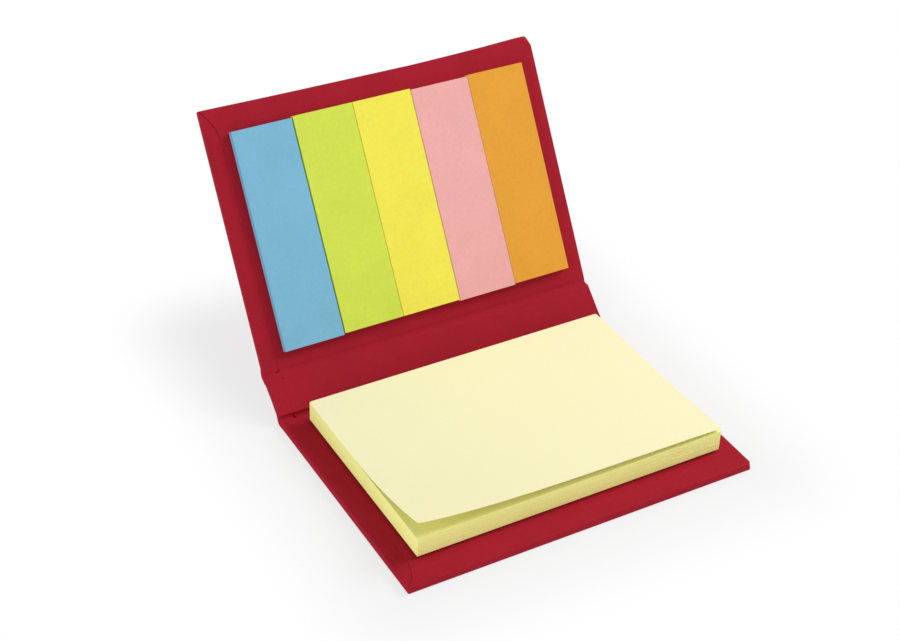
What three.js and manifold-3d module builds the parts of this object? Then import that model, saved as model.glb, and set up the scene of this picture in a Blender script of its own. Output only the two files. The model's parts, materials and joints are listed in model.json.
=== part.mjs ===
// Sticky note booklet, standing open: a hard paper-covered folder with a back cover, a narrow
// spine and a front cover. The back cover holds a pad of notes, the front cover five pads of
// narrow page flags. Millimetres, +Z up. The origin is the centre of the back cover's underside,
// +X runs along the creases and +Y from the back cover's free edge to the spine.

import * as THREE from 'three';
import { mergeVertices } from 'three/addons/utils/BufferGeometryUtils.js';
import Module from 'manifold-3d';

const wasm = await Module();
wasm.setup();

// Pad of notes, and the cover that shows round it. Margins at a crease run to its fold line.
const padWidth = 75;
const padDepth = 50;
const padHeight = 5.2;
const padLeftMargin = 5.4;
const padRightMargin = 4;
const padFrontMargin = 6.4;
const padCreaseMargin = 3.7;

// Pads of page flags, from left to right, with how far each sits above the lowest
const flagWidth = 14.8;
const flagLength = 50;
const flagHeight = 1.5;
const flagSpacing = 0.1;
const flagLeftMargin = 5.5;
const flagRightMargin = 4.5;
const flagCreaseMargin = 4.4;
const flagFreeMargin = 5.7;
const flags = [
  { name: 'flag_pad_blue', colour: 0x7db8d8, shift: 0 },
  { name: 'flag_pad_green', colour: 0xd3e63f, shift: 0.3 },
  { name: 'flag_pad_yellow', colour: 0xf6ea48, shift: 0.3 },
  { name: 'flag_pad_pink', colour: 0xeda9b0, shift: 0 },
  { name: 'flag_pad_orange', colour: 0xe59a33, shift: 0.3 },
];

// The top note curls up off the pad, most at its front left corner
const noteThickness = 0.12;
const noteGluedStrip = 17;
const noteLiftLeft = 4.5;
const noteLiftRight = 1;
const noteCurl = 2.4;
const noteLiftFade = 1.3;
const noteColumns = 12;
const noteRows = 16;

// How far the booklet stands open, in degrees above the table
const spineAngle = 41;
const frontAngle = 58.2;

// Layers of the cover. The lining stands a step over the strips that are turned in beside it.
const boardThickness = 1.2;
const paperThickness = 0.2;
const glueLine = 0.1;
const liningStep = 0.1;

// The paper's folds: strips turned in at the sides, curved mitres and folded corners
const turnIn = 3.4;
const mitreLength = 8.5;
const mitreBow = 3;
const cornerCut = 1.1;
const foldRadius = 0.35;

// Room at the creases, and between the pad and the flags once the booklet is shut
const paperGap = 0.6;
const creaseClearance = 0.1;
const creaseRise = 0.35;
const boardClearance = 0.25;
const closingRoom = 1.9;

// Worked out from the driving sizes
const outerLayer = paperThickness + glueLine;
const innerLayer = paperThickness + liningStep + glueLine;
const coverThickness = outerLayer + boardThickness + innerLayer;
const flagRow = flags.length * flagWidth + (flags.length - 1) * flagSpacing;
const coverWidth = Math.max(
  padLeftMargin + padWidth + padRightMargin,
  flagLeftMargin + flagRow + flagRightMargin,
);
const panelLength = Math.max(
  padFrontMargin + padDepth + padCreaseMargin,
  flagCreaseMargin + flagLength + flagFreeMargin,
);
const spineLength = coverThickness + padHeight + flagHeight + 2 * glueLine + closingRoom;
const boardGap = coverThickness + 2 * boardClearance;
const creaseDip = coverThickness / 2 - (paperGap / 2 - creaseClearance);
const halfWidth = coverWidth / 2;
const beyond = 2 * coverThickness;

// Materials
const paperRed = new THREE.MeshStandardMaterial({ color: 0xa0203a, roughness: 0.7, metalness: 0 });
const greyboard = new THREE.MeshStandardMaterial({ color: 0x9a958b, roughness: 0.95, metalness: 0 });
const noteYellow = new THREE.MeshStandardMaterial({ color: 0xfdf5bf, roughness: 0.85, metalness: 0 });

function flagPaper(colour) {
  return new THREE.MeshStandardMaterial({ color: colour, roughness: 0.8, metalness: 0 });
}

// Solids for cutting and joining
function toSolid(geometry) {
  const bare = geometry.clone();
  for (const name of Object.keys(bare.attributes)) {
    if (name !== 'position') bare.deleteAttribute(name);
  }
  const merged = mergeVertices(bare, 1e-5);
  return new wasm.Manifold(new wasm.Mesh({
    numProp: 3,
    vertProperties: Float32Array.from(merged.attributes.position.array),
    triVerts: Uint32Array.from(merged.index.array),
  }));
}

function toGeometry(solid) {
  const made = solid.getMesh();
  const geometry = new THREE.BufferGeometry();
  geometry.setAttribute('position', new THREE.Float32BufferAttribute(made.vertProperties, 3));
  geometry.setIndex(Array.from(made.triVerts));
  geometry.computeVertexNormals();
  return geometry;
}

function boxBetween(low, high) {
  const size = high.map((value, axis) => value - low[axis]);
  const geometry = new THREE.BoxGeometry(...size);
  return geometry.translate(...low.map((value, axis) => value + size[axis] / 2));
}

function namedMesh(name, geometry, material) {
  const mesh = new THREE.Mesh(geometry, material);
  mesh.name = name;
  return mesh;
}

// A panel is drawn flat: X across, Y along it, its inner face at Z 0 and its outer face at
// minus coverThickness. Its ends are a free edge or a crease, whose y is its fold line.
function panelShape(inset, low, high) {
  const side = halfWidth - inset;
  const cut = cornerCut - inset * (2 - Math.SQRT2);
  function endPoints(end, inward) {
    if (!end.free) return [[-side, end.y], [side, end.y]];
    const y = end.y + inward * inset;
    return [
      [-side, y + inward * cut],
      [-side + cut, y],
      [side - cut, y],
      [side, y + inward * cut],
    ];
  }
  const points = [...endPoints(low, 1), ...endPoints(high, -1).reverse()];
  return new THREE.Shape(points.map(([x, y]) => new THREE.Vector2(x, y)));
}

// The panel's long section between two heights. Both faces taper towards a crease, so that
// the panels clear each other when the booklet shuts. An open section runs past the paper.
function sectionShape(top, bottom, open, low, high) {
  function endPoints(end, inward) {
    if (end.free) return [[end.y, top], [end.y, bottom]];
    const full = end.y + (inward * boardGap) / 2;
    const tip = end.y + (inward * paperGap) / 2;
    const past = open ? end.y : tip;
    return [
      [full, top],
      [tip, top - creaseDip],
      [past, top - creaseDip],
      [past, bottom + creaseRise],
      [tip, bottom + creaseRise],
      [full, bottom],
    ].filter((point, index, all) => index === 0 || point.join() !== all[index - 1].join());
  }
  const points = [...endPoints(low, 1), ...endPoints(high, -1).reverse()];
  return new THREE.Shape(points.map(([y, z]) => new THREE.Vector2(y, z)));
}

function extrudeUp(shape, from, to) {
  const geometry = new THREE.ExtrudeGeometry(shape, {
    depth: to - from,
    bevelEnabled: false,
    curveSegments: 8,
  });
  return toSolid(geometry.translate(0, 0, from));
}

function extrudeAcross(shape, width) {
  const geometry = new THREE.ExtrudeGeometry(shape, { depth: width, bevelEnabled: false });
  const turned = new THREE.Matrix4().makeBasis(
    new THREE.Vector3(0, 1, 0),
    new THREE.Vector3(0, 0, 1),
    new THREE.Vector3(1, 0, 0),
  );
  return toSolid(geometry.translate(0, 0, -width / 2).applyMatrix4(turned));
}

// The outer form of a covered board, with its edges rounded where the paper folds over them
function wrappedBlank(low, high) {
  const geometry = new THREE.ExtrudeGeometry(panelShape(foldRadius, low, high), {
    depth: coverThickness - 2 * foldRadius,
    bevelEnabled: true,
    bevelThickness: foldRadius,
    bevelSize: foldRadius,
    bevelSegments: 3,
    steps: 1,
  });
  geometry.translate(0, 0, foldRadius - coverThickness);
  const section = sectionShape(0, -coverThickness, false, low, high);
  return toSolid(geometry).intersect(extrudeAcross(section, 2 * coverWidth));
}

// The strip that is turned in along one side lies a step lower than the lining beside it.
// At a free end the strip runs out to the corner in a curved mitre.
function turnedStrip(side, low, high) {
  const edge = side * (halfWidth + beyond);
  const corner = side * halfWidth;
  const inner = side * (halfWidth - turnIn);
  const strip = new THREE.Shape();
  if (low.free) {
    strip.moveTo(corner, low.y);
    strip.quadraticCurveTo(inner, low.y + mitreBow, inner, low.y + mitreLength);
  } else {
    strip.moveTo(inner, low.y);
  }
  if (high.free) {
    strip.lineTo(inner, high.y - mitreLength);
    strip.quadraticCurveTo(inner, high.y - mitreBow, corner, high.y);
  } else {
    strip.lineTo(inner, high.y);
  }
  strip.lineTo(edge, high.y);
  strip.lineTo(edge, low.y);
  strip.closePath();
  return extrudeUp(strip, -liningStep, beyond);
}

// The cover paper of one panel: a sleeve of outer sheet, folded edges and lining
function wrapGeometry(low, high) {
  const hollow = sectionShape(-paperThickness - liningStep, paperThickness - coverThickness,
    true, low, high);
  const room = extrudeUp(panelShape(paperThickness, low, high), -beyond, beyond);
  let sleeve = wrappedBlank(low, high);
  sleeve = sleeve.subtract(extrudeAcross(hollow, 2 * coverWidth).intersect(room));
  for (const side of [-1, 1]) {
    sleeve = sleeve.subtract(turnedStrip(side, low, high));
  }
  return toGeometry(sleeve);
}

// The board fills the sleeve and stops short of the creases
function boardGeometry(low, high) {
  function boardEnd(end, inward) {
    return end.free ? end : { y: end.y + inward * (boardGap / 2 + glueLine), free: false };
  }
  const shape = panelShape(outerLayer, boardEnd(low, 1), boardEnd(high, -1));
  return toGeometry(extrudeUp(shape, outerLayer - coverThickness, -innerLayer));
}

function panel(name, low, high) {
  const group = new THREE.Group();
  group.add(namedMesh(`${name}_board`, boardGeometry(low, high), greyboard));
  group.add(namedMesh(`${name}_wrap`, wrapGeometry(low, high), paperRed));
  return group;
}

// How high the top note stands over the pad, from its left edge (0) to its right (1)
function noteLift(across, along) {
  const free = Math.max(0, along - noteGluedStrip) / (padDepth - noteGluedStrip);
  const atFront = noteLiftRight + (noteLiftLeft - noteLiftRight) * (1 - across) ** noteLiftFade;
  return atFront * free ** noteCurl;
}

// A thin sheet over the pad, glued along the pad's rear edge and curling up to the front
function topNoteGeometry() {
  const positions = [];
  const faces = [];
  const stride = noteColumns + 1;
  const layer = stride * (noteRows + 1);
  for (const height of [0, noteThickness]) {
    for (let row = 0; row <= noteRows; row += 1) {
      for (let column = 0; column <= noteColumns; column += 1) {
        const across = column / noteColumns;
        const along = (padDepth * row) / noteRows;
        positions.push(across * padWidth, padDepth - along, noteLift(across, along) + height);
      }
    }
  }
  function addQuad(a, b, c, d) {
    faces.push(a, b, c, a, c, d);
  }
  for (let row = 0; row < noteRows; row += 1) {
    for (let column = 0; column < noteColumns; column += 1) {
      const corner = row * stride + column;
      addQuad(corner, corner + 1, corner + stride + 1, corner + stride);
      addQuad(layer + corner, layer + corner + stride, layer + corner + stride + 1, layer + corner + 1);
    }
  }
  for (let column = 0; column < noteColumns; column += 1) {
    const front = noteRows * stride + column;
    addQuad(column, layer + column, layer + column + 1, column + 1);
    addQuad(front, front + 1, layer + front + 1, layer + front);
  }
  for (let row = 0; row < noteRows; row += 1) {
    const left = row * stride;
    const right = left + noteColumns;
    addQuad(left, left + stride, layer + left + stride, layer + left);
    addQuad(right, layer + right, layer + right + stride, right + stride);
  }
  const geometry = new THREE.BufferGeometry();
  geometry.setAttribute('position', new THREE.Float32BufferAttribute(positions, 3));
  geometry.setIndex(faces);
  geometry.computeVertexNormals();
  return geometry;
}

// A crease's fold line lies in the middle of the cover's thickness. This hangs one panel on
// the panel before it, turned about that line.
function hangOn(parent, child, y, degrees) {
  const hinge = new THREE.Group();
  hinge.position.set(0, y, -coverThickness / 2);
  hinge.rotation.x = THREE.MathUtils.degToRad(degrees);
  child.position.z = coverThickness / 2;
  hinge.add(child);
  parent.add(hinge);
}

// Back cover, flat on the table, with the pad of notes
const back = panel('back', { y: 0, free: true }, { y: panelLength, free: false });
back.position.set(0, -panelLength / 2, coverThickness);

const pad = new THREE.Group();
pad.position.set(-halfWidth + padLeftMargin, padFrontMargin, glueLine);
pad.add(namedMesh('note_pad', boxBetween([0, 0, 0], [padWidth, padDepth, padHeight]), noteYellow));
const topNote = namedMesh('top_note', topNoteGeometry(), noteYellow);
topNote.position.z = padHeight + glueLine;
pad.add(topNote);
back.add(pad);

// Spine, hinged to the back cover along the first crease
const spine = panel('spine', { y: 0, free: false }, { y: spineLength, free: false });
hangOn(back, spine, panelLength, spineAngle);

// Front cover, hinged to the spine along the second crease, with the page flags
const front = panel('front', { y: 0, free: false }, { y: panelLength, free: true });
hangOn(spine, front, spineLength, frontAngle - spineAngle);
flags.forEach((flag, index) => {
  const left = -halfWidth + flagLeftMargin + index * (flagWidth + flagSpacing);
  const low = flagCreaseMargin + flag.shift;
  front.add(namedMesh(
    flag.name,
    boxBetween([left, low, glueLine], [left + flagWidth, low + flagLength, glueLine + flagHeight]),
    flagPaper(flag.colour),
  ));
});

const booklet = new THREE.Group();
booklet.add(back);

export default booklet;
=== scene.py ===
# Hard-cover booklet of sticky notes, standing open: a pad of notes on the back cover and five
# pads of page flags on the front cover. Sizes come from the frame, the looks are made here.

import json
import math
import random

import bmesh
import bpy
from mathutils import Matrix, Vector

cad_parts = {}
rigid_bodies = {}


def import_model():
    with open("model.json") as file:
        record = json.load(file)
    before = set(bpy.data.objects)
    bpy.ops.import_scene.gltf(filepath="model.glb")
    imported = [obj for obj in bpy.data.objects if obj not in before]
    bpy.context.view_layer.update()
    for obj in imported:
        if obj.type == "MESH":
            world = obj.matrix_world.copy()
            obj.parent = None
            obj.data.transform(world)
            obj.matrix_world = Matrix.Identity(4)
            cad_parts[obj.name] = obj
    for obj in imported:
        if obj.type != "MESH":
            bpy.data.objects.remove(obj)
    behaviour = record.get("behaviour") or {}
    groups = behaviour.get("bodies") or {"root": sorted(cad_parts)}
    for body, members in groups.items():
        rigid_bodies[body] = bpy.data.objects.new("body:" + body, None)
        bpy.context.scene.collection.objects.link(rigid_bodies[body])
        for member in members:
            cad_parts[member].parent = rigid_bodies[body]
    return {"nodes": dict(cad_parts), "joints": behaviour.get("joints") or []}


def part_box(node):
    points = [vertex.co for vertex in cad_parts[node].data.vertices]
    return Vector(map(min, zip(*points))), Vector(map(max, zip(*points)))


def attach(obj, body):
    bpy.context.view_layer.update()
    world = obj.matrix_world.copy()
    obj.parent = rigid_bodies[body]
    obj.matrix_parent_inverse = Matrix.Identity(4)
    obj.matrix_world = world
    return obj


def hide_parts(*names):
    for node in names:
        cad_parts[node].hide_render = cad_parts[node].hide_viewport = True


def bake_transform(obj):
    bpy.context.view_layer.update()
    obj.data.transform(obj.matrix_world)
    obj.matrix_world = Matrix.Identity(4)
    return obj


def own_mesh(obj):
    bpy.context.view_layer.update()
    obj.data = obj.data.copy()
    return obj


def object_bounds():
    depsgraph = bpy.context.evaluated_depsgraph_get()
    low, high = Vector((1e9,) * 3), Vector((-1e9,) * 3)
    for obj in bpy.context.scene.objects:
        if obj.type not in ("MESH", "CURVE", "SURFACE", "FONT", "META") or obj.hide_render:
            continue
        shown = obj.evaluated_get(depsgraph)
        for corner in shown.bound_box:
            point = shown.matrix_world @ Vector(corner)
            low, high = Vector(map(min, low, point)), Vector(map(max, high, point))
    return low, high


bl_info = {
    "name": "Sticky note booklet",
    "version": (1, 0, 0),
    "blender": (4, 5, 0),
    "location": "3D View > Sidebar > Booklet",
    "description": "Builds a hard-cover booklet of sticky notes and page flags",
    "category": "Add Mesh",
}

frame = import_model()
cad_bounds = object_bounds()

# Pieces are shaped in millimetres and brought to metres when they are settled
MM = 0.001
ORIGIN = Vector((0, 0, 0))

# Places and angles of the fold lines, from the frame's joints
joints = {joint["name"]: joint for joint in frame["joints"]}
SPINE_FOLD = Vector(joints["spine_fold"]["pos_m"]) / MM
COVER_FOLD = Vector(joints["cover_fold"]["pos_m"]) / MM
SPINE_ANGLE = math.radians(-joints["spine_fold"]["range_deg"][0])
FRONT_ANGLE = SPINE_ANGLE + math.radians(-joints["cover_fold"]["range_deg"][0])


def box_mm(node):
    """A CAD node's lowest and highest corners, in millimetres."""
    low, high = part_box(node)
    return low / MM, high / MM


# Sizes of the cover, from the frame's nodes
back_low, back_high = box_mm("back_wrap")
COVER_WIDTH = back_high.x - back_low.x
COVER_THICKNESS = back_high.z - back_low.z
PANEL_LENGTH = SPINE_FOLD.y - back_low.y
SPINE_LENGTH = (COVER_FOLD - SPINE_FOLD).length
HALF_WIDTH = COVER_WIDTH / 2
HALF_THICKNESS = COVER_THICKNESS / 2

# Modelling allowances, in millimetres
NEAR = 0.01
CUT_PAST = 1
ROOM = 0.04
GLUE_FILM = 0.01
CUT_TOLERANCE = 0.00001

# How finely rounded forms are made
EDGE_SEGMENTS = 4
MITRE_CUTS = 8
NOTE_GRID = (60, 48)

# Leaves: radius of a corner, bevel of a rim as a share of the leaf's thickness, how upright a normal
# is on a leaf's flat side, and how many of the lowest leaves stand back
LEAF_CORNER = 0.12
LEAF_BEVEL = 0.14
FLAT_FACE = 0.9
UNDERCUT_LEAVES = 3

# Where the random slips of the leaves start
NOTE_SEED = 11
FLAG_SEED = 23

# Part of the note pad whose corner rises: across it and along it
FAN_ACROSS = 30
FAN_ALONG = 12

# A crease, in shares of its reach: the rows of points on each side of the fold line, half the width
# that is drawn in outside, and the slack for rounding. The power sets how steep its sides are
CREASE_ROWS = (0.12, 0.25, 0.38, 0.5, 0.62, 0.74, 0.84, 0.92, 1, 1.2, 1.6)
RISE_SPAN = 0.55
ROW_SLACK = 1.01
DIP_POWER = 2.6

# A wrinkle's cutter, which is made one unit long: where its ends start and how thin they are
WRINKLE_END = 0.4
WRINKLE_TIP = 0.15

# Wrinkles where the left turned strip crosses the creases: in from the strip's edge, along the
# cover, length, and heading in degrees
FIRST_WRINKLES = ((0, 0.5, 1.3, 10), (0.6, -0.4, 2.6, 40))
SECOND_WRINKLES = ((0, 0.7, 1.1, -15), (-0.6, 0.35, 1.1, 90), (0.4, -1.5, 0.8, 45))

# How the front cover's free edge bows: place across the cover, and shift along it
EDGE_BOW = ((-40, 0.25), (-30, 0.1), (-20, 0), (-10, -0.06), (0, -0.12), (10, -0.18), (20, -0.04),
            (30, 0.2), (38, 0.5))

# Width of the cover's rim, the part that bows or is pushed out
RIM = 1.2

# Where the creases bulge at the left: middle, from the fold line to the panel, and half the length
FIRST_BULGE = (0.6, 2.6)
SECOND_BULGE = (0, 2.2)

# How much narrower than its place each flag pad is cut, from left to right
FLAG_TRIMS = (0.22, 0.03, 0.08, 0, 0)

FLAG_NODES = ("flag_pad_blue", "flag_pad_green", "flag_pad_yellow", "flag_pad_pink", "flag_pad_orange")
FLAG_SLOTS = ("flag_blue", "flag_green", "flag_yellow", "flag_pink", "flag_orange")

# Painted light: how much lighter a flag pad's stacked edges are drawn than its face, to brighten the
# pads' sides
FLAG_SIDE_PAINTED_LIGHT = 1.15

# Patterns in paper: scale, detail, and the noise values that become 0 and 1
PATCH_NOISE = (110, 3, 0.3, 0.7)
FLECK_NOISE = (1500, 4, 0.3, 0.7)
TOOTH_NOISE = (4200, 3, 0.25, 0.75)
NOISE_ROUGHNESS = 0.55
TOOTH_DEPTH = 0.00003
WHITE = (1, 1, 1, 1)


def paint(red, green, blue):
    """The linear values of a colour that is given from 0 to 255."""
    def linear(value):
        share = value / 255
        return share / 12.92 if share <= 0.04045 else ((share + 0.055) / 1.055) ** 2.4
    return linear(red), linear(green), linear(blue)


def in_mm(name, description, millimetres):
    return bpy.props.FloatProperty(
        name=name, description=description, default=millimetres * MM, min=0, precision=5, unit="LENGTH")


def in_rgb(name, description, red, green, blue):
    return bpy.props.FloatVectorProperty(
        name=name, description=description, default=paint(red, green, blue),
        size=3, min=0, max=1, subtype="COLOR")


def number(name, description, value, low, high, **kind):
    return bpy.props.FloatProperty(
        name=name, description=description, default=value, min=low, max=high, **kind)


def leaf_count(description, value, high):
    return bpy.props.IntProperty(
        name="Leaves", description=description, default=value, min=2, max=high)


class CoverSettings(bpy.types.PropertyGroup):
    turn_in: in_mm("Turned strip", "Width of the strip that is turned in at each side", 3.4)
    lining_step: in_mm("Lining step", "How far the lining stands over the turned strips", 0.035)
    mitre_step: in_mm("Mitre step", "How far the lining stands over the strip at a corner", 0.2)
    mitre_fade: in_mm("Mitre fade", "Where the mitre's step has faded, from the free edge", 15)
    mitre_length: in_mm("Mitre length", "Where the mitre starts, from the free edge", 8.5)
    mitre_bow: in_mm("Mitre bow", "Where the mitre bends, from the free edge", 3)
    left_corner: in_mm("Left corner fold", "How far a left corner is folded off", 0.24)
    back_corner: in_mm("Back corner fold", "How far the back's right corner is folded off", 0.9)
    front_corner: in_mm("Front corner fold", "How far the front's right corner is folded off", 2.1)
    edge_radius: in_mm("Edge radius", "Radius of the paper where it folds round the board", 0.28)
    back_end: in_mm("Back end", "How far the back's free edge stands out", 0.18)
    back_left: in_mm("Back left", "How far the back's left edge stands out", 0.11)
    back_right: in_mm("Back right", "How far the back's right edge stands out", 0.22)
    front_left: in_mm("Front left", "How far the front's left edge stands out", 0.1)
    spine_left: in_mm("Spine left", "How far the spine's left edge stands out", 0.06)
    spine_right: in_mm("Spine right", "How far the spine's right edge stands out", 0.45)
    crease_reach: in_mm("Crease reach", "Half the width of a crease", 1.2)
    first_dip: in_mm("First crease depth", "Depth of the crease beside the note pad", 0.85)
    second_dip: in_mm("Second crease depth", "Depth of the crease below the flags", 0.08)
    crease_rise: in_mm("Crease rise", "How far the outside is drawn in at the second crease", 0.1)
    wrinkle_width: in_mm("Wrinkle width", "Width of a wrinkle that is 1 mm long", 0.22)
    wrinkle_depth: in_mm("Wrinkle depth", "Depth of a wrinkle that is 1 mm long", 0.5)
    first_bulge: in_mm("First bulge", "How far the first crease bulges at the left", 0.2)
    second_bulge: in_mm("Second bulge", "How far the second crease bulges at the left", 0.32)
    colour: in_rgb("Cover colour", "Colour of the cover paper", 165, 30, 46)
    board_colour: in_rgb("Board colour", "Colour of the boards inside", 150, 144, 132)


class PadSettings(bpy.types.PropertyGroup):
    leaves: leaf_count("Layers shown at the pad's sides", 30, 80)
    slip: in_mm("Slip", "How far a leaf may lie out of line", 0.025)
    thickness: in_mm("Top note thickness", "Thickness of the top note", 0.12)
    glued_strip: in_mm("Glued strip", "Depth of the note that stays flat on the pad", 17)
    lift_left: in_mm("Lift at the left", "Rise of the top note's front left corner", 4.3)
    lift_right: in_mm("Lift at the right", "Rise of the top note's front right corner", 1.2)
    curl: number("Curl", "How fast the lift grows to the front", 2.4, 1, 6)
    fade: number("Fade", "How fast the corner's curl fades to the right", 5.5, 0.5, 9)
    sag: number("Sag", "Share of the lift that falls evenly to the right", 0.25, 0, 1, subtype="FACTOR")
    corner_round: in_mm("Corner rounding", "Rounding of the top note's corners", 0.5)
    fan: in_mm("Fan", "Rise of the pad's front right corner under the top note", 0.3)
    undercut: in_mm("Undercut", "How far the lowest leaves stand back", 1.4)
    colour: in_rgb("Note colour", "Colour of a note's face", 255, 249, 203)
    # Painted light: the notes under the top one get a deeper, brighter yellow than the top note,
    # standing in for light that comes through the curled top note and bounces between the leaves.
    inner_painted_light_colour: in_rgb("Inner colour", "Colour of the notes below the top one", 255, 253, 162)
    # Partly the deeper yellow of stacked paper and partly painted light: the stacked edges are raised to
    # full brightness to lift the pad's sides.
    edge_colour_and_painted_light: in_rgb("Edge colour", "Colour of the stacked edges", 255, 254, 182)


class FlagSettings(bpy.types.PropertyGroup):
    leaves: leaf_count("Layers shown at a flag pad's sides", 10, 40)
    slip: in_mm("Slip", "How far a leaf may lie out of line", 0.02)
    blue: in_rgb("Blue", "Colour of the first pad", 125, 184, 213)
    green: in_rgb("Green", "Colour of the second pad", 210, 226, 82)
    yellow: in_rgb("Yellow", "Colour of the third pad", 243, 232, 84)
    pink: in_rgb("Pink", "Colour of the fourth pad", 238, 174, 171)
    orange: in_rgb("Orange", "Colour of the fifth pad", 229, 161, 56)


class StageSettings(bpy.types.PropertyGroup):
    world_strength: number("Sky", "Strength of the even light", 0.48, 0, 4)
    key_power: number("Key light", "Power of the soft light at the right", 3.4, 0, 100, unit="POWER")
    fill_power: number("Fill light", "Power of the soft light at the left", 2.3, 0, 100, unit="POWER")
    floor_colour: in_rgb("Floor colour", "Colour of the floor, for the light it returns", 252, 252, 252)
    # Painted shade: near the booklet the camera sees the floor in the darker floor shade, a painted grey
    # shadow pool round the booklet that also keeps the real shadows and fades to white at the shadow
    # reach.
    floor_painted_shade: in_rgb("Floor shade", "Colour of the floor as the camera sees it", 218, 218, 219)
    floor_veil: number("Floor veil", "How far the floor's shadows are faded", 0.74, 0, 1,
                       subtype="FACTOR")
    shadow_reach: in_mm("Shadow reach", "Distance from the booklet where the shadows have faded", 26)


# Small steps of modelling, each as it is done by hand
def begin(obj):
    """Makes the object the only selected one."""
    if bpy.context.object and bpy.context.object.mode != "OBJECT":
        bpy.ops.object.mode_set(mode="OBJECT")
    bpy.ops.object.select_all(action="DESELECT")
    if obj:
        obj.hide_set(False)
        obj.select_set(True)
        bpy.context.view_layer.objects.active = obj


def edit(obj):
    begin(obj)
    bpy.ops.object.mode_set(mode="EDIT")
    bpy.ops.mesh.select_all(action="SELECT")


def end_edit():
    bpy.ops.object.mode_set(mode="OBJECT")


def apply_place(obj):
    begin(obj)
    bpy.ops.object.transform_apply(location=True, rotation=True, scale=True)


def name_piece(obj, name):
    obj.name = name
    obj.data.name = name
    return obj


def block(name, low, high):
    """A box between two corners."""
    begin(None)
    bpy.ops.mesh.primitive_cube_add(size=1, location=(low + high) / 2, scale=high - low)
    made = name_piece(bpy.context.object, name)
    apply_place(made)
    return made


def choose(obj, kind, test):
    """In edit mode, selects only the vertices or edges that pass the test."""
    bpy.ops.mesh.select_mode(type=kind)
    bpy.ops.mesh.select_all(action="DESELECT")
    mesh = bmesh.from_edit_mesh(obj.data)
    mesh.verts.ensure_lookup_table()
    for item in {"VERT": mesh.verts, "EDGE": mesh.edges}[kind]:
        if test(item):
            item.select_set(True)
    bmesh.update_edit_mesh(obj.data)


def cut_across(place, normal, drop=False):
    """Cuts the whole mesh with a plane, and may drop what lies ahead of it and close the cut."""
    bpy.ops.mesh.select_all(action="SELECT")
    bpy.ops.mesh.bisect(plane_co=place, plane_no=normal, use_fill=drop, clear_outer=drop,
                        threshold=CUT_TOLERANCE)


def cut_row(y):
    """Cuts the whole mesh at a place along the cover."""
    cut_across(Vector((0, y, 0)), Vector((0, 1, 0)))


def cut_column(x):
    """Cuts the whole mesh at a place across the cover."""
    cut_across(Vector((x, 0, 0)), Vector((1, 0, 0)))


def turn(angle, centre):
    """Turns the selection about X. With no window the operator turns the other way."""
    bpy.ops.transform.rotate(value=-angle, orient_axis="X", orient_type="GLOBAL", center_override=centre)


def carve(obj, cutter):
    """Cuts one piece with another and deletes the cutter."""
    begin(obj)
    bpy.ops.object.modifier_add(type="BOOLEAN")
    modifier = obj.modifiers[-1]
    modifier.operation = "DIFFERENCE"
    modifier.solver = "EXACT"
    modifier.object = cutter
    bpy.ops.object.modifier_apply(modifier=modifier.name)
    if not obj.data.polygons:
        raise RuntimeError(f"cutting {obj.name} with {cutter.name} left nothing")
    begin(cutter)
    bpy.ops.object.delete()


def settle(obj, smooth_angle=32):
    """Brings a finished piece from millimetres to metres and smooths it."""
    begin(obj)
    obj.scale = (MM, MM, MM)
    bpy.ops.object.transform_apply(location=True, rotation=True, scale=True)
    bpy.ops.object.shade_smooth_by_angle(angle=math.radians(smooth_angle))
    return obj


def dress(obj, *materials):
    obj.data.materials.clear()
    for material in materials:
        obj.data.materials.append(material)


# Materials
def node(tree, kind, **sockets):
    made = tree.nodes.new(kind)
    for socket, value in sockets.items():
        made.inputs[socket.replace("_", " ")].default_value = value
    return made


def speckle(tree, coordinates, scale, detail, low, high):
    """A noise over the piece's own coordinates, spread from 0 to 1."""
    noise = node(tree, "ShaderNodeTexNoise", Scale=scale, Detail=detail,
                 Roughness=NOISE_ROUGHNESS)
    tree.links.new(coordinates.outputs["Object"], noise.inputs["Vector"])
    spread = node(tree, "ShaderNodeMapRange", From_Min=low, From_Max=high)
    tree.links.new(noise.outputs["Fac"], spread.inputs["Value"])
    return spread.outputs["Result"]


def mixed(tree, share, first, second):
    """A colour between two colours or links, by a share."""
    mix = tree.nodes.new("ShaderNodeMix")
    mix.data_type = "RGBA"
    if isinstance(share, bpy.types.NodeSocket):
        tree.links.new(share, mix.inputs["Factor"])
    else:
        mix.inputs["Factor"].default_value = share
    colours = [socket for socket in mix.inputs if socket.type == "RGBA"]
    for socket, value in zip(colours, (first, second)):
        if isinstance(value, bpy.types.NodeSocket):
            tree.links.new(value, socket)
        else:
            socket.default_value = (*value, 1)
    return next(socket for socket in mix.outputs if socket.type == "RGBA")


def scaled(colour, factor):
    return tuple(min(1, channel * factor) for channel in colour)


def paper(name, colour, patches=0.05, flecks=0.03, grain=0.25, roughness=0.75, gloss=0.12):
    """Matte paper: broad soft patches, fine flecks of fibre and a slight tooth."""
    material = bpy.data.materials.new(name)
    material.use_nodes = True
    tree = material.node_tree
    shader = tree.nodes["Principled BSDF"]
    coordinates = tree.nodes.new("ShaderNodeTexCoord")
    broad = speckle(tree, coordinates, *PATCH_NOISE)
    fine = speckle(tree, coordinates, *FLECK_NOISE)
    ground = mixed(tree, broad, scaled(colour, 1 - patches), scaled(colour, 1 + patches))
    flecked = mixed(tree, fine, scaled(colour, 1 - flecks * 2), scaled(colour, 1 + flecks * 2))
    tree.links.new(mixed(tree, 0.5, ground, flecked), shader.inputs["Base Color"])
    tooth = speckle(tree, coordinates, *TOOTH_NOISE)
    bump = node(tree, "ShaderNodeBump", Strength=grain, Distance=TOOTH_DEPTH)
    tree.links.new(tooth, bump.inputs["Height"])
    tree.links.new(bump.outputs["Normal"], shader.inputs["Normal"])
    shader.inputs["Roughness"].default_value = roughness
    shader.inputs["Specular IOR Level"].default_value = gloss
    return material


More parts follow.
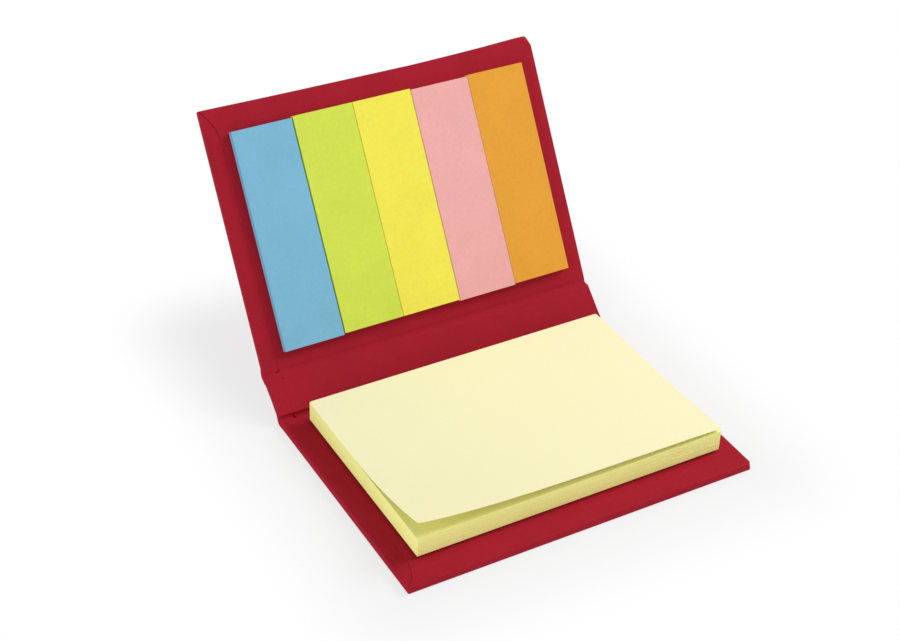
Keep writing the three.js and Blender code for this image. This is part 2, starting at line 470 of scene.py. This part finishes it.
# Cover skin
def slice_corner(across, free, total, slant=0):
    """Cuts one corner off with a plane, where x and y measured outwards add up to the total. The
    slant is how much that total shrinks with each millimetre of height."""
    cut_across(Vector((across * total, 0, 0)), Vector((across, free, slant)).normalized(), drop=True)


def strip_cutter(across, end, free, size):
    """What the lining leaves of one side: a strip that runs out to the corner in a curved mitre.
    Its floor sinks towards the free edge."""
    inner = across * (HALF_WIDTH - size.turn_in / MM)
    past = across * 2 * HALF_WIDTH
    level = HALF_THICKNESS - size.lining_step / MM
    free_end = end + free * CUT_PAST
    far_end = -free * 2 * PANEL_LENGTH
    cutter = block("strip_cutter", Vector((min(inner, past), min(free_end, far_end), level)),
                   Vector((max(inner, past), max(free_end, far_end), 2 * COVER_THICKNESS)))
    edit(cutter)
    cut_row(end - free * size.mitre_fade / MM)
    choose(cutter, "VERT", lambda vertex: abs(vertex.co.z - level) < NEAR
           and abs(vertex.co.y - free_end) < NEAR)
    bpy.ops.transform.translate(value=(0, 0, (size.lining_step - size.mitre_step) / MM))
    start = Vector((across * HALF_WIDTH, end, 0))
    bend = Vector((inner, end - free * size.mitre_bow / MM, 0))
    finish = Vector((inner, end - free * size.mitre_length / MM, 0))
    for step in range(MITRE_CUTS):
        share = (step + 0.5) / MITRE_CUTS
        before = start.lerp(bend, share)
        after = bend.lerp(finish, share)
        along = after - before
        outward = Vector((-abs(along.y) * across, free * abs(along.x), 0)).normalized()
        cut_across(before.lerp(after, share), outward, drop=True)
    end_edit()
    return cutter


def wrinkle_cutter(place, length, heading, size):
    """A cube on its edge with thin ends, which presses one wrinkle into the inner face."""
    begin(None)
    bpy.ops.mesh.primitive_cube_add(size=1, rotation=(0, math.radians(45), 0))
    cutter = name_piece(bpy.context.object, "wrinkle_cutter")
    apply_place(cutter)
    edit(cutter)
    cut_row(0)
    choose(cutter, "VERT", lambda vertex: abs(vertex.co.y) > WRINKLE_END)
    bpy.ops.transform.resize(value=(WRINKLE_TIP, 1, WRINKLE_TIP), center_override=ORIGIN)
    end_edit()
    cutter.scale = Vector((size.wrinkle_width / MM, 1, size.wrinkle_depth / MM)) * length
    cutter.rotation_euler.z = heading
    cutter.location = place
    apply_place(cutter)
    return cutter


def crease_rows(reach):
    """Distances from the fold line at which the cover gets a row of points."""
    return sorted([0] + [side * share * reach for side in (-1, 1) for share in CREASE_ROWS])


def dip_share(offset, reach):
    """How much of a crease's depth shows at a distance from its middle."""
    return max(0, 1 - (abs(offset) / reach) ** DIP_POWER)


def bend_share(offset, reach):
    """How much of the fold has been turned at a distance from its line, from 0 to 1."""
    along = min(1, max(0, (offset + reach) / (2 * reach)))
    return along * along * (3 - 2 * along)


def cover_skin(name, size, fold):
    """The cover paper on both sides of one fold line, from the free edge to the middle of the spine.
    It is made flat, with the fold line at the origin, then creased, folded and put in place."""
    reach = size.crease_reach / MM
    free = fold["free"]
    length = PANEL_LENGTH if free > 0 else PANEL_LENGTH + size.back_end / MM
    low_end, high_end = (-SPINE_LENGTH / 2, length) if free > 0 else (-length, SPINE_LENGTH / 2)
    end, split = (high_end, low_end) if free > 0 else (low_end, high_end)
    skin = block(name, Vector((-HALF_WIDTH, low_end, -HALF_THICKNESS)),
                 Vector((HALF_WIDTH, high_end, HALF_THICKNESS)))
    edit(skin)
    whole = HALF_WIDTH + length
    inside = fold["corner"] / MM
    outside = size.left_corner / MM
    slice_corner(-1, free, whole - outside)
    slice_corner(1, free, whole - (inside + outside) / 2, slant=(inside - outside) / COVER_THICKNESS)
    choose(skin, "EDGE", lambda edge: abs(edge.verts[0].co.z - edge.verts[1].co.z) < NEAR
           and not all(abs(vertex.co.y - split) < NEAR for vertex in edge.verts))
    bpy.ops.mesh.bevel(offset=size.edge_radius / MM, segments=EDGE_SEGMENTS, profile=0.5,
                       clamp_overlap=False)
    end_edit()
    for across in (-1, 1):
        carve(skin, strip_cutter(across, end, free, size))
    for x, y, wrinkle_length, heading in fold["wrinkles"]:
        place = Vector((size.turn_in / MM + x - HALF_WIDTH, y, HALF_THICKNESS))
        carve(skin, wrinkle_cutter(place, wrinkle_length, math.radians(heading), size))
    hollow_out(skin, low_end, high_end, free)
    edit(skin)
    for offset in crease_rows(reach):
        cut_row(offset)
    for x, _ in EDGE_BOW:
        cut_column(x)
    if free > 0:
        bow_free_edge(skin, end)
    end_edit()
    push_sides(skin, size, reach, free)
    crease_and_fold(skin, size, reach, fold)
    edit(skin)
    turn(fold["base_angle"], ORIGIN)
    bpy.ops.transform.translate(value=fold["line"])
    end_edit()
    return settle(skin)


def bow_free_edge(skin, end):
    """In edit mode, gives the free edge the slight bow of a cover that is folded by hand."""
    first, last = EDGE_BOW[0][0], EDGE_BOW[-1][0]
    for x, shift in EDGE_BOW:
        choose(skin, "VERT", lambda vertex: vertex.co.y > end - RIM
               and (abs(vertex.co.x - x) < NEAR or vertex.co.x < x == first or vertex.co.x > x == last))
        bpy.ops.transform.translate(value=(0, shift, 0))


def push_sides(skin, size, reach, free):
    """Pushes the sides out by the paper's bulk, from the spine's share of it to the panel's."""
    edge = HALF_WIDTH - RIM
    left, right = (size.front_left, 0) if free > 0 else (size.back_left, size.back_right)
    bulge = size.second_bulge if free > 0 else size.first_bulge
    centre, span = SECOND_BULGE if free > 0 else FIRST_BULGE
    for vertex in skin.data.vertices:
        along = vertex.co.y * free
        panel = bend_share(along + reach / 2, reach / 2)
        if vertex.co.x < -edge:
            swell = bulge * dip_share(along - centre, span)
            vertex.co.x -= (size.spine_left + (left - size.spine_left) * panel + swell) / MM
        elif vertex.co.x > edge:
            vertex.co.x += (size.spine_right + (right - size.spine_right) * panel) / MM


def hollow_out(skin, low_end, high_end, free):
    """Cuts the room that the boards fill, open at the middle of the spine."""
    board_low, board_high = box_mm("back_board")
    side = board_high.x + ROOM
    bottom = board_low.z - SPINE_FOLD.z - ROOM
    top = board_high.z - SPINE_FOLD.z + ROOM
    gap = SPINE_FOLD.y - board_high.y - ROOM
    paper_wall = board_low.y - back_low.y - ROOM
    far_back = low_end + paper_wall if free < 0 else low_end - CUT_PAST
    far_ahead = high_end - paper_wall if free > 0 else high_end + CUT_PAST
    corners = [vertex.co.x - vertex.co.y for vertex in frame["nodes"]["back_board"].data.vertices]
    board_corner = max(corners) / MM + SPINE_FOLD.y
    for near, far in ((far_back, -gap), (gap, far_ahead)):
        room = block("board_room", Vector((-side, near, bottom)), Vector((side, far, top)))
        edit(room)
        for across in (-1, 1):
            slice_corner(across, free, board_corner + ROOM)
        end_edit()
        carve(skin, room)


def crease_and_fold(skin, size, reach, fold):
    """Presses the crease into both faces, then turns each row by its share of the fold."""
    points = skin.data.vertices
    rows = {}
    for vertex in points:
        if abs(vertex.co.y) < reach * ROW_SLACK:
            rows.setdefault(round(vertex.co.y, 3), set()).add(vertex.index)
    beyond = {vertex.index for vertex in points if vertex.co.y >= reach * ROW_SLACK}
    upper = {vertex.index for vertex in points if vertex.co.z > 0}
    middle = -fold["free"] * reach / 2
    edit(skin)
    for offset, row in rows.items():
        inside = dip_share(offset, reach) * fold["dip"]
        outside = dip_share(offset - middle, reach * RISE_SPAN) * fold["rise"]
        for chosen, shift in ((row & upper, -inside), (row - upper, outside)):
            if shift and chosen:
                choose(skin, "VERT", lambda vertex: vertex.index in chosen)
                bpy.ops.transform.translate(value=(0, 0, shift))
    for offset, row in rows.items():
        choose(skin, "VERT", lambda vertex: vertex.index in row)
        turn(fold["angle"] * bend_share(offset, reach), ORIGIN)
    choose(skin, "VERT", lambda vertex: vertex.index in beyond)
    turn(fold["angle"], ORIGIN)
    end_edit()


class BOOKLET_OT_cover(bpy.types.Operator):
    """Makes the cover paper round the boards and gives the boards their material"""

    bl_idname = "booklet.cover"
    bl_label = "Cover"

    def execute(self, context):
        size = context.scene.booklet_cover
        cover_paper = paper("cover_paper", size.colour, patches=0.09, flecks=0.05, grain=0.35,
                            gloss=0.06)
        greyboard = paper("greyboard", size.board_colour, patches=0.08, flecks=0.12, grain=0.6,
                          roughness=0.95)
        folds = (
            {"name": "cover_paper_back", "bodies": ("back_cover", "spine"), "free": -1,
             "line": SPINE_FOLD, "base_angle": 0, "angle": SPINE_ANGLE,
             "dip": size.first_dip / MM, "rise": 0, "corner": size.back_corner,
             "wrinkles": FIRST_WRINKLES, "wraps": ("back_wrap", "spine_wrap")},
            {"name": "cover_paper_front", "bodies": ("spine", "front_cover"), "free": 1,
             "line": COVER_FOLD, "base_angle": SPINE_ANGLE, "angle": FRONT_ANGLE - SPINE_ANGLE,
             "dip": size.second_dip / MM, "rise": size.crease_rise / MM, "corner": size.front_corner,
             "wrinkles": SECOND_WRINKLES, "wraps": ("front_wrap", "spine_wrap")},
        )
        for fold in folds:
            skin = cover_skin(fold["name"], size, fold)
            dress(skin, cover_paper)
            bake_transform(skin)
            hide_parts(*fold["wraps"])
        for board in ("back_board", "spine_board", "front_board"):
            dress(frame["nodes"][board], greyboard)
        return {"FINISHED"}


# Stacks of leaves
def leaf_stack(name, low, high, leaves, slip, draw):
    """A stack of thin leaves between two corners, each slipped a little out of line."""
    pitch = (high.z - low.z) / leaves
    first = block(name, low, Vector((high.x, high.y, low.z + pitch)))
    edit(first)
    choose(first, "EDGE", lambda edge: abs(edge.verts[0].co.z - edge.verts[1].co.z) > pitch / 2)
    bpy.ops.mesh.bevel(offset=LEAF_CORNER, segments=2, clamp_overlap=False)
    choose(first, "EDGE", lambda edge: abs(edge.verts[0].co.z - edge.verts[1].co.z) < pitch / 2)
    bpy.ops.mesh.bevel(offset=pitch * LEAF_BEVEL, segments=1, clamp_overlap=False)
    end_edit()
    stack = [first]
    for index in range(1, leaves):
        begin(first)
        bpy.ops.object.duplicate()
        leaf = bpy.context.object
        shift = (draw.uniform(-slip, slip), draw.uniform(-slip, slip), index * pitch)
        bpy.ops.transform.translate(value=shift)
        apply_place(leaf)
        stack.append(leaf)
    begin(first)
    for leaf in stack:
        leaf.select_set(True)
    bpy.ops.object.join()
    joined = name_piece(bpy.context.object, name)
    for face in joined.data.polygons:
        face.material_index = 0 if abs(face.normal.z) > FLAT_FACE else 1
    return joined


def set_back_lowest(pad, low, high, size):
    """Narrows the lowest leaves, which stand back from the others."""
    pitch = (high.z - low.z) / size.leaves
    edit(pad)
    last_undercut = low.z + (UNDERCUT_LEAVES - 0.5) * pitch
    choose(pad, "VERT", lambda vertex: vertex.co.z < last_undercut)
    bpy.ops.mesh.select_linked()
    width = high.x - low.x
    depth = high.y - low.y
    narrowed = (1 - 2 * size.undercut / MM / width, 1 - 2 * size.undercut / MM / depth, 1)
    bpy.ops.transform.resize(value=narrowed, center_override=(low + high) / 2)
    end_edit()


def raise_corner(pad, low, high, size):
    """Raises the front right corner, most at the top leaf."""
    fan_right = high.x - FAN_ACROSS
    fan_back = low.y + FAN_ALONG
    edit(pad)
    cut_column(fan_right)
    cut_row(fan_back)
    end_edit()
    for vertex in pad.data.vertices:
        across = max(0, vertex.co.x - fan_right) / FAN_ACROSS
        along = max(0, fan_back - vertex.co.y) / FAN_ALONG
        vertex.co.z += across * along * size.fan / MM * (vertex.co.z - low.z) / (high.z - low.z)


class BOOKLET_OT_note_pad(bpy.types.Operator):
    """Makes the pad of notes as a stack of leaves"""

    bl_idname = "booklet.note_pad"
    bl_label = "Note pad"

    def execute(self, context):
        size = context.scene.booklet_pad
        low, high = box_mm("note_pad")
        draw = random.Random(NOTE_SEED)
        pad = leaf_stack("note_stack", low, high, size.leaves, size.slip / MM, draw)
        set_back_lowest(pad, low, high, size)
        raise_corner(pad, low, high, size)
        # The leaves' faces take the inner colour, painted light for the light under the curled top note.
        dress(pad, paper("note_paper", size.inner_painted_light_colour),
              # Their stacked edges take the edge colour, partly painted light on the pad's sides.
              paper("note_edges", size.edge_colour_and_painted_light, flecks=0.05))
        settle(pad)
        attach(pad, "back_cover")
        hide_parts("note_pad")
        return {"FINISHED"}


def note_lift(size, across, along, depth):
    """How high the top note stands over the pad, from its left edge (0) to its right (1)."""
    glued = size.glued_strip / MM
    free = max(0, along - glued) / (depth - glued)
    left = size.lift_left / MM
    right = size.lift_right / MM
    share = (1 - size.sag) * (1 - across) ** size.fade + size.sag * (1 - across)
    return (right + (left - right) * share) * free ** size.curl


class BOOKLET_OT_top_note(bpy.types.Operator):
    """Makes the top note, which is glued at the rear and curls up at its front left corner"""

    bl_idname = "booklet.top_note"
    bl_label = "Top note"

    def execute(self, context):
        size = context.scene.booklet_pad
        low, high = box_mm("note_pad")
        seat = high.z + GLUE_FILM
        depth = high.y - low.y
        width = high.x - low.x
        begin(None)
        columns, rows = NOTE_GRID
        bpy.ops.mesh.primitive_grid_add(x_subdivisions=columns, y_subdivisions=rows, size=1,
                                        location=((low.x + high.x) / 2, (low.y + high.y) / 2, seat))
        note = name_piece(bpy.context.object, "note_top_sheet")
        note.scale = (width, depth, 1)
        apply_place(note)
        edit(note)
        choose(note, "VERT", lambda vertex: len(vertex.link_faces) == 1)
        bpy.ops.mesh.bevel(affect="VERTICES", offset=size.corner_round / MM, segments=EDGE_SEGMENTS,
                           clamp_overlap=False)
        end_edit()
        for vertex in note.data.vertices:
            across = (vertex.co.x - low.x) / width
            vertex.co.z += note_lift(size, across, high.y - vertex.co.y, depth)
        begin(note)
        bpy.ops.object.modifier_add(type="SOLIDIFY")
        wall = note.modifiers[-1]
        wall.thickness = size.thickness / MM
        wall.offset = 1
        bpy.ops.object.modifier_apply(modifier=wall.name)
        dress(note, paper("top_note_paper", size.colour, patches=0.012, flecks=0.012, grain=0.2))
        settle(note, smooth_angle=60)
        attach(note, "back_cover")
        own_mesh(note)
        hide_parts("top_note")
        return {"FINISHED"}


def panel_box(name, to_panel):
    """A node's corners in the front panel's own frame, in millimetres."""
    points = [to_panel @ (vertex.co / MM) for vertex in frame["nodes"][name].data.vertices]
    low = Vector([min(point[axis] for point in points) for axis in range(3)])
    high = Vector([max(point[axis] for point in points) for axis in range(3)])
    return low, high


class BOOKLET_OT_flag_pads(bpy.types.Operator):
    """Makes the five pads of page flags as stacks of leaves on the front cover"""

    bl_idname = "booklet.flag_pads"
    bl_label = "Flag pads"

    def execute(self, context):
        size = context.scene.booklet_flags
        colours = (size.blue, size.green, size.yellow, size.pink, size.orange)
        to_panel = Matrix.Rotation(-FRONT_ANGLE, 4, "X") @ Matrix.Translation(-COVER_FOLD)
        draw = random.Random(FLAG_SEED)
        for cad_node, slot, colour, trim in zip(FLAG_NODES, FLAG_SLOTS, colours, FLAG_TRIMS):
            low, high = panel_box(cad_node, to_panel)
            high.x -= trim
            low.z = HALF_THICKNESS + GLUE_FILM
            name = cad_node.replace("pad", "stack")
            pad = leaf_stack(name, low, high, size.leaves, size.slip / MM, draw)
            edit(pad)
            turn(FRONT_ANGLE, ORIGIN)
            bpy.ops.transform.translate(value=COVER_FOLD)
            end_edit()
            # The edges' lighter copy of the pad's colour is painted light on the pads' sides.
            dress(pad, paper(slot + "_paper", colour),
                  paper(slot + "_edges", scaled(colour, FLAG_SIDE_PAINTED_LIGHT)))
            settle(pad)
            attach(pad, "front_cover")
            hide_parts(cad_node)
        return {"FINISHED"}


# Stage, in metres and degrees
CAMERA_PLACE = Vector((-0.170842, -0.260199, 0.253886))
CAMERA_AZIMUTH = 30.539
CAMERA_ELEVATION = -35.327
CAMERA_ROLL = 2.229
CAMERA_NEAR = 0.01
LENS_MM = 72.8
SENSOR_MM = 36
KEY_PLACE = Vector((0.55, -0.05, 0.5))
KEY_SIZE = 0.35
FILL_PLACE = Vector((-0.68, -0.28, 0.14))
FILL_SIZE = 0.5
FLOOR_SIZE = 4


class BOOKLET_OT_stage(bpy.types.Operator):
    """Makes the camera, the pale floor with its painted shadow pool, the sky and the soft lights"""

    bl_idname = "booklet.stage"
    bl_label = "Stage"

    def execute(self, context):
        size = context.scene.booklet_stage
        self.add_camera(context)
        self.add_floor(size)
        self.add_sky(context, size)
        self.add_light("key", KEY_PLACE, KEY_SIZE, size.key_power)
        self.add_light("fill", FILL_PLACE, FILL_SIZE, size.fill_power)
        context.scene.view_settings.view_transform = "Standard"
        return {"FINISHED"}

    def add_camera(self, context):
        azimuth = math.radians(CAMERA_AZIMUTH)
        elevation = math.radians(CAMERA_ELEVATION)
        ahead = Vector((math.sin(azimuth) * math.cos(elevation),
                        math.cos(azimuth) * math.cos(elevation), math.sin(elevation)))
        roll = Matrix.Rotation(math.radians(CAMERA_ROLL), 3, "Z")
        aim = ahead.to_track_quat("-Z", "Y").to_matrix() @ roll
        bpy.ops.object.camera_add(location=CAMERA_PLACE, rotation=aim.to_euler())
        camera = bpy.context.object
        camera.name = "camera"
        camera.data.lens = LENS_MM
        camera.data.sensor_width = SENSOR_MM
        camera.data.clip_start = CAMERA_NEAR
        context.scene.camera = camera

    def seen_share(self, tree, share=None):
        """One, or a linked share, for rays from the camera, off gloss or through glass. Rays of light
        get none."""
        path = tree.nodes.new("ShaderNodeLightPath")
        total = path.outputs["Is Camera Ray"]
        for kind in ("Is Glossy Ray", "Is Transmission Ray"):
            add = tree.nodes.new("ShaderNodeMath")
            add.use_clamp = True
            tree.links.new(total, add.inputs[0])
            tree.links.new(path.outputs[kind], add.inputs[1])
            total = add.outputs[0]
        if share is None:
            return total
        scale = tree.nodes.new("ShaderNodeMath")
        scale.operation = "MULTIPLY"
        tree.links.new(total, scale.inputs[0])
        tree.links.new(share, scale.inputs[1])
        return scale.outputs[0]

    def show(self, tree, share, lit, seen, output):
        """Mixes the shader that light meets with the one that is seen."""
        mix = tree.nodes.new("ShaderNodeMixShader")
        tree.links.new(share, mix.inputs[0])
        tree.links.new(lit.outputs[0], mix.inputs[1])
        tree.links.new(seen.outputs[0], mix.inputs[2])
        tree.links.new(mix.outputs[0], tree.nodes[output].inputs["Surface"])

    def distance_from_booklet(self, tree):
        """How far a point of the floor lies outside the rectangle that the booklet stands on."""
        low, high = cad_bounds
        middle = (low + high) / 2
        half = (high - low) / 2
        coordinates = tree.nodes.new("ShaderNodeTexCoord")
        link = coordinates.outputs["Object"]
        steps = (("SUBTRACT", (middle.x, middle.y, 0)), ("ABSOLUTE", None),
                 ("SUBTRACT", (half.x, half.y, 0)), ("MAXIMUM", (0, 0, 0)), ("LENGTH", None))
        for operation, value in steps:
            step = tree.nodes.new("ShaderNodeVectorMath")
            step.operation = operation
            tree.links.new(link, step.inputs[0])
            if value:
                step.inputs[1].default_value = value
            link = step.outputs["Value" if operation == "LENGTH" else "Vector"]
        return link

    def add_floor(self, size):
        begin(None)
        bpy.ops.mesh.primitive_plane_add(size=FLOOR_SIZE)
        floor = name_piece(bpy.context.object, "floor")
        material = bpy.data.materials.new("floor")
        material.use_nodes = True
        tree = material.node_tree
        shader = tree.nodes["Principled BSDF"]
        # Light that the floor returns takes the floor colour; the camera sees the darker floor shade,
        # which is painted shade.
        ground = mixed(tree, self.seen_share(tree), size.floor_colour, size.floor_painted_shade)
        tree.links.new(ground, shader.inputs["Base Color"])
        shader.inputs["Roughness"].default_value = 1
        shader.inputs["Specular IOR Level"].default_value = 0
        white = node(tree, "ShaderNodeEmission", Color=WHITE, Strength=1)
        # Near the booklet the seen floor keeps less of the white, which paints a grey shadow pool round
        # the booklet and keeps its real shadows; past the shadow reach the floor is pure white.
        veil = node(tree, "ShaderNodeMapRange", From_Min=0, From_Max=size.shadow_reach,
                    To_Min=size.floor_veil, To_Max=1)
        veil.interpolation_type = "SMOOTHSTEP"
        tree.links.new(self.distance_from_booklet(tree), veil.inputs["Value"])
        share = self.seen_share(tree, veil.outputs["Result"])
        self.show(tree, share, shader, white, "Material Output")
        dress(floor, material)

    def add_sky(self, context, size):
        sky = bpy.data.worlds.new("sky")
        sky.use_nodes = True
        context.scene.world = sky
        tree = sky.node_tree
        light = tree.nodes["Background"]
        light.inputs["Color"].default_value = WHITE
        light.inputs["Strength"].default_value = size.world_strength
        white = node(tree, "ShaderNodeBackground", Color=WHITE, Strength=1)
        self.show(tree, self.seen_share(tree), light, white, "World Output")

    def add_light(self, name, place, size, power):
        """A round soft light that looks at the booklet."""
        bpy.ops.object.light_add(type="AREA", location=place,
                                 rotation=(-place).to_track_quat("-Z", "Y").to_euler())
        light = bpy.context.object
        light.name = name
        light.data.shape = "DISK"
        light.data.size = size
        light.data.energy = power


class BOOKLET_PT_sidebar(bpy.types.Panel):
    """Lists the booklet's pieces"""

    bl_idname = "BOOKLET_PT_sidebar"
    bl_label = "Sticky note booklet"
    bl_space_type = "VIEW_3D"
    bl_region_type = "UI"
    bl_category = "Booklet"

    def draw(self, context):
        for operator in OPERATORS:
            self.layout.operator(operator.bl_idname)


OPERATORS = (BOOKLET_OT_stage, BOOKLET_OT_cover, BOOKLET_OT_note_pad, BOOKLET_OT_top_note,
             BOOKLET_OT_flag_pads)
SETTINGS = {"booklet_cover": CoverSettings, "booklet_pad": PadSettings,
            "booklet_flags": FlagSettings, "booklet_stage": StageSettings}


def register():
    for group in (*SETTINGS.values(), *OPERATORS, BOOKLET_PT_sidebar):
        bpy.utils.register_class(group)
    for name, group in SETTINGS.items():
        setattr(bpy.types.Scene, name, bpy.props.PointerProperty(type=group))


def unregister():
    for name in SETTINGS:
        delattr(bpy.types.Scene, name)
    for group in (BOOKLET_PT_sidebar, *OPERATORS, *SETTINGS.values()):
        bpy.utils.unregister_class(group)


def main():
    register()
    bpy.ops.booklet.stage()
    bpy.ops.booklet.cover()
    bpy.ops.booklet.note_pad()
    bpy.ops.booklet.top_note()
    bpy.ops.booklet.flag_pads()


if __name__ == "__main__":
    main()
